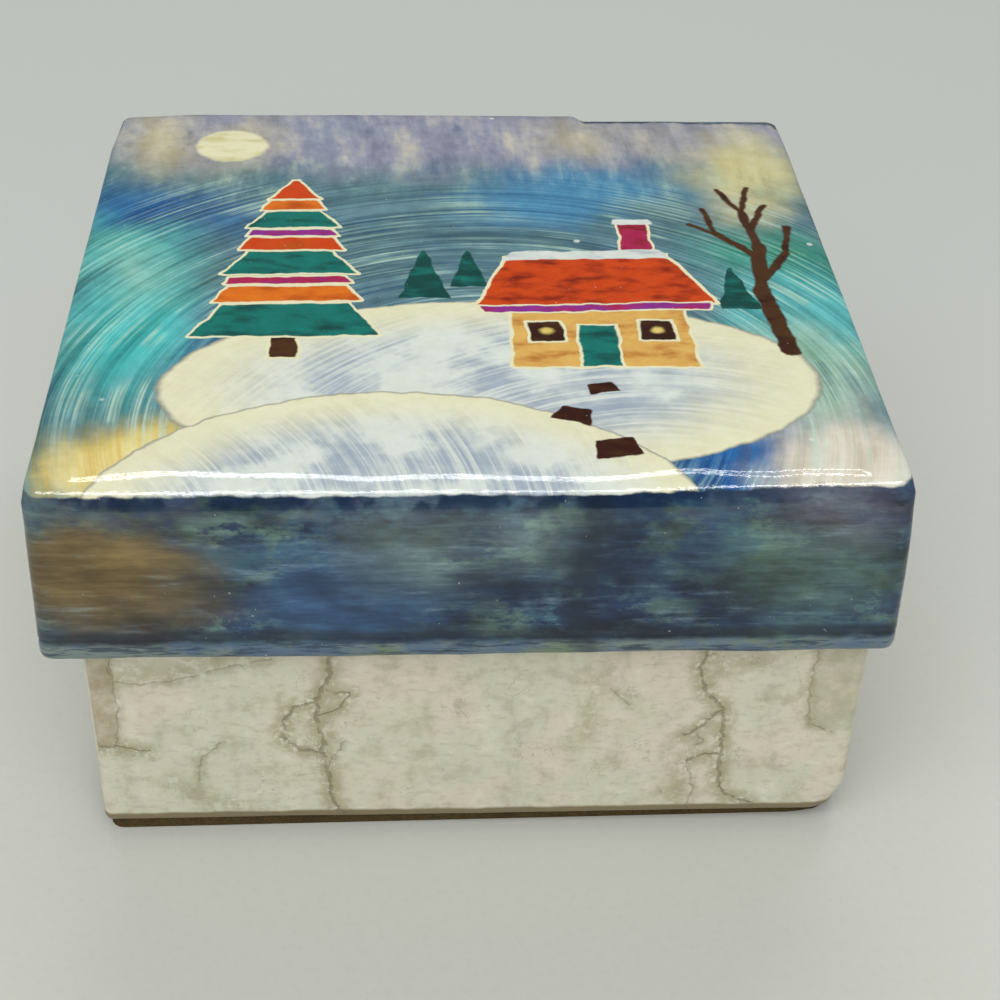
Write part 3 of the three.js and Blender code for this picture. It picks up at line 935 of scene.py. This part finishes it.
def let_edge_wander(piece, level, reach, height, wavelength):
    """Lets the edge at one level rise and sink a little, most at the edge itself."""
    for place in places_on(piece):
        wave = noise.noise(Vector((place.x, place.y, 0)) / wavelength)
        place.z += near(abs(place.z - level), reach) * height * wave


def finish_piece(piece, body, nodes, material):
    select_only(piece)
    bpy.ops.object.shade_smooth_by_angle(angle=math.radians(50))
    piece.data.materials.clear()
    piece.data.materials.append(material)
    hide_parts(*nodes)
    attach(piece, body)
    print(piece.name, len(piece.data.polygons), "faces")


def nodes_of(start, *without):
    return [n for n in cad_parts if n.startswith(start) and not any(w in n for w in without)]


long_waves = hand_waves("long_waves", 16 * MM)
short_waves = hand_waves("short_waves", 3.5 * MM)
print("modelling helpers ready")

# %% [markdown]
# The lid is one continuous skin of paint and lacquer over its plates and strips. Its top is
# crowned: flat in the middle, falling a little over the last few millimetres, then rounding
# sharply to the side. That profile splits the lamp's mirror image into two bright lines. It is
# written as depths below the top and how far in the skin lies, and level cuts are spread to it.

# %% Model the lid's painted shell
PLATE = 0.6 * MM
GLUE = 0.1 * MM
PAINT_INSET = 0.13 * MM
LID_OPEN_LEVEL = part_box("lid_rim_front")[0][2]
LID_TOP_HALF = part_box("lid_edge_right")[1][0] - 0.05 * MM
LID_OPEN_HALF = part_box("lid_rim_right")[1][0]
LID_CORNER = 1.6 * MM
EDGE_PROFILE = [
    # depth below the top, how far in from the side, in mm
    (0, 5.6), (0.035, 4.85), (0.087, 4.6), (0.19, 4.1), (0.242, 3.85), (0.293, 3.2), (0.363, 2.4),
    (0.447, 1.8), (0.56, 1.35), (0.78, 0.82), (1.08, 0.42), (1.43, 0.14), (1.90, 0),
]
CROWN_DEPTH = 2 * MM
CROWN_ELSEWHERE = 0.28
STEP_X = 19.8 * MM
STEP_UP = Vector((0, 0.45, 0.12)) * MM
STEP_DOWN = Vector((0, -0.20, -0.50)) * MM
FOLDED_IN = Vector((0, 1.1, -0.12)) * MM
CROWN_WANDER = 3.2 * MM


def side_half(level):
    """The lid's half width at a level: it widens a little towards its open edge."""
    share = (LID_TOP_LEVEL - level) / (LID_TOP_LEVEL - LID_OPEN_LEVEL)
    return LID_TOP_HALF + (LID_OPEN_HALF - LID_TOP_HALF) * share - PAINT_INSET


def sharpen_edges(piece, top):
    """The front strip is folded round, but the other three are folded nearly sharp."""
    for place in places_on(piece):
        depth = top - place.z
        if depth < CROWN_DEPTH:
            behind = soft_step((place.y + 42 * MM) / (50 * MM))
            beside = soft_step((abs(place.x) - abs(place.y)) / (7 * MM) + 0.3)
            place.z = top - depth * (1 - max(behind, beside) * (1 - CROWN_ELSEWHERE))


def step_back_edge(piece):
    """The right top plate lies under the left one, so the back edge drops where it starts."""
    for place in places_on(piece):
        from_back = near(LID_TOP_HALF - place.y, 8 * MM)
        from_top = near(LID_TOP_LEVEL - place.z, 7 * MM)
        beyond = soft_step((place.x - STEP_X) / (2 * MM) + 0.5)
        place += (STEP_UP * (1 - beyond) + STEP_DOWN * beyond) * from_back * from_top


def draw_in_front_right(piece):
    """The front strip is folded over further in towards its right end."""
    for place in places_on(piece):
        from_front = near(LID_TOP_HALF + place.y, 9 * MM)
        from_top = near(LID_TOP_LEVEL - place.z, 9 * MM)
        rightward = soft_step((place.x - 10 * MM) / (34 * MM))
        place += FOLDED_IN * from_front * from_top * rightward
        on_crown = near(LID_TOP_LEVEL - place.z, 0.9 * MM)
        wander = noise.noise(Vector((place.x / (12 * MM), 0.4, 0.7)))
        place.y += CROWN_WANDER * wander * from_front * on_crown


def make_lid_skin(name, inset, low, steps, longest):
    """A skin of the lid, some way in from its outside, open below."""
    top = LID_TOP_LEVEL - PAINT_INSET - inset
    half = side_half(top) - inset
    skin = add_block(name, half, low, top)
    round_edges(skin, is_upright, LID_CORNER - inset, steps)
    profile = {top - depth * MM: -from_side * MM for depth, from_side in EDGE_PROFILE}
    profile[low] = side_half(low) - inset - half
    follow_profile(skin, half, profile)
    drop_faces(skin, at_level(low))
    cut_finely(skin, longest)
    sharpen_edges(skin, top)
    return skin


lid_shell = make_lid_skin("lid_painted_shell", 0, BAND_TOP_LEVEL + 0.2 * MM, 7, 1.2 * MM)
make_uneven(lid_shell, long_waves, 0.20 * MM)
make_uneven(lid_shell, short_waves, 0.06 * MM)
step_back_edge(lid_shell)
draw_in_front_right(lid_shell)
press(lid_shell, (-LID_TOP_HALF, LID_TOP_HALF, LID_TOP_LEVEL), 13 * MM, Vector((0.5, -0.3, -0.35)) * MM)
give_thickness(lid_shell, PLATE)
finish_piece(lid_shell, "lid", nodes_of("lid_", "lining", "rim"), painted_lid)

# %% [markdown]
# Four strips of shell bind the lid's open edge. Paint and lacquer run over them, so the band
# grows softly out of the side above a dark groove.

# %% Model the band round the lid's open edge
BAND_PROFILE = [
    # height over the open edge, how far out of the side's own line, in mm
    (3.4, -0.22), (2.9, -0.12), (2.4, 0.06), (1.7, 0.13), (0.9, 0.11), (0.35, 0), (0.1, -0.22),
]
BAND_HALF = LID_OPEN_HALF - 0.28 * MM
profile = {LID_OPEN_LEVEL + height * MM: proud * MM for height, proud in BAND_PROFILE}
lid_band = add_block("lid_rim_band", BAND_HALF, min(profile), max(profile))
round_edges(lid_band, is_upright, LID_CORNER + 0.1 * MM, 7)
follow_profile(lid_band, BAND_HALF, profile)
drop_faces(lid_band, lambda f: abs(f.normal.z) > 0.95)
cut_finely(lid_band, 1.2 * MM)
make_uneven(lid_band, long_waves, 0.24 * MM)
make_uneven(lid_band, short_waves, 0.10 * MM)
let_edge_wander(lid_band, LID_OPEN_LEVEL, 2.6 * MM, 0.22 * MM, 9 * MM)
give_thickness(lid_band, 1.2 * MM)
finish_piece(lid_band, "lid", nodes_of("lid_rim"), painted_lid)

# %% [markdown]
# The lining is a second, thinner skin inside the first, with a film of glue between.

# %% Model the lid's lining
lid_lining = make_lid_skin("lid_shell_lining", PLATE + GLUE, LID_OPEN_LEVEL + 0.5 * MM, 5, 2 * MM)
draw_in_front_right(lid_lining)
make_uneven(lid_lining, long_waves, 0.10 * MM)
give_thickness(lid_lining, 0.4 * MM)
finish_piece(lid_lining, "lid", nodes_of("lid_", "rim", "edge", "corner", "plate"),
             lining_shell)

# %% [markdown]
# The tray narrows slightly to its foot. Its front right corner has worn round at the bottom, so
# the skin is pressed in there. Its lining is a thinner skin on the same steps.

# %% Model the tray
TRAY_TAPER = 0.35 * MM
TRAY_INSET = 0.10 * MM
WORN_CORNER = Vector((TRAY_HALF, -TRAY_HALF, TRAY_FOOT))
WORN_REACH = 5 * MM
WORN_PUSH = Vector((-1.3, 0.7, 0.4)) * MM


def shift_to_tray(piece):
    select_only(piece)
    piece.location.x = TRAY_MIDDLE
    bpy.ops.object.transform_apply(location=True, rotation=False, scale=False)


def finish_skin(skin, foot, upright, below, longest, waves, thickness):
    """Rounds a block's corners and its foot, opens it above and makes it a worn, uneven skin."""
    round_edges(skin, is_upright, upright * MM, 5)
    round_edges(skin, at_level(foot), below[0] * MM, below[1])
    drop_faces(skin, at_level(TRAY_RIM))
    cut_finely(skin, longest * MM)
    press(skin, WORN_CORNER, WORN_REACH, WORN_PUSH)
    for texture, height in waves:
        make_uneven(skin, texture, height * MM)
    give_thickness(skin, thickness)
    shift_to_tray(skin)


tray_shell = add_block("tray_shell", TRAY_HALF - TRAY_INSET, TRAY_FOOT, TRAY_RIM)
spread(tray_shell, TRAY_FOOT, 1 - TRAY_TAPER / TRAY_HALF)
finish_skin(tray_shell, TRAY_FOOT, 1.3, (0.5, 3), 1.2, ((long_waves, 0.18), (short_waves, 0.04)), PLATE)
finish_piece(tray_shell, "tray", nodes_of("base_", "lining", "pad"), natural_shell)

inset = PLATE + GLUE + TRAY_INSET
floor = TRAY_FOOT + PLATE + GLUE
tray_lining = add_block("tray_shell_lining", TRAY_HALF - inset, floor, TRAY_RIM)
finish_skin(tray_lining, floor, 1, (1.2, 4), 2, ((long_waves, 0.10),), 0.4 * MM)
finish_piece(tray_lining, "tray", [n for n in nodes_of("base_") if "lining" in n],
             lining_shell)

# %% [markdown]
# The pad is a sheet of felt, cut by eye a little smaller than the tray and glued under it. Its
# front edge runs askew, further under the tray to the right, and the worn corner has taken the
# felt with it.

# %% Model the felt pad
PAD_ASKEW = 0.95 * MM
low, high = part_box("base_pad")
half = (high[0] - low[0]) / 2
pad = add_block("felt_pad", half - 0.06 * MM, low[2], high[2])
round_edges(pad, is_upright, 1.8 * MM, 4)
round_edges(pad, at_level(high[2]), 0.25 * MM, 2)
cut_finely(pad, 1.4 * MM)
for place in places_on(pad):
    in_front = near(half + place.y, 12 * MM)
    place.y += PAD_ASKEW * in_front * (place.x + half) / (2 * half)
    place.z = max(place.z, low[2])
press(pad, WORN_CORNER, 8 * MM, Vector((-1.7, 0.9, 0)) * MM)
shift_to_tray(pad)
finish_piece(pad, "tray", ["base_pad"], brown_felt)

# %% [markdown]
# The table is a flat board in a pale room, lit from above and behind by a long low window and
# from the front by a wide soft one. The lid's skin tilts twice near its front edge, so the
# lacquer there mirrors the long window as two thin bright lines. The soft one is kept out of
# mirror images, and the room is dimmer in them, so the paint stays deep. All together light a
# level surface at about one, so a colour renders about as it is written.

# %% Lay the table and light it
FLOOR_SIZE = 12
LAMPS = {
    # place, width and height in metres, power in watts
    "window_behind": ((0.06, 0.48, 0.92), (0.80, 0.08), 2.6),
    "window_in_front": ((-0.25, -0.85, 1.00), (1.8, 1.4), 13.5),
}
ROOM_COLOUR = (0.97, 1, 0.99, 1)
ROOM_LIGHT = 0.46
ROOM_IN_MIRRORS = 0.14

bpy.ops.object.select_all(action="DESELECT")
bpy.ops.mesh.primitive_plane_add(size=FLOOR_SIZE)
table = bpy.context.object
table.name = "table_top"
table.data.materials.append(table_finish)
for name, (place, size, power) in LAMPS.items():
    data = bpy.data.lights.new(name, "AREA")
    data.shape = "RECTANGLE"
    data.size, data.size_y = size
    data.energy = power
    to_box = (BOX_MIDDLE - Vector(place)).to_track_quat("-Z", "Y").to_matrix()
    lamp = add_to_scene(name, data, Vector(place), to_box)
    lamp.visible_glossy = name == "window_behind"
world = bpy.data.worlds.new("pale_room")
world.use_nodes = True
start_tree(world.node_tree)
in_mirror = add_node("LightPath", {})["Is Glossy Ray"]
strength = add_node("MapRange", {"Value": in_mirror, "To Min": ROOM_LIGHT, "To Max": ROOM_IN_MIRRORS})[0]
background = world.node_tree.nodes["Background"].inputs
give(background["Color"], ROOM_COLOUR)
give(background["Strength"], strength)
bpy.context.scene.world = world
bpy.context.scene.view_settings.view_transform = "Standard"
print("table is", FLOOR_SIZE, "m wide, lit by", ", ".join(LAMPS))
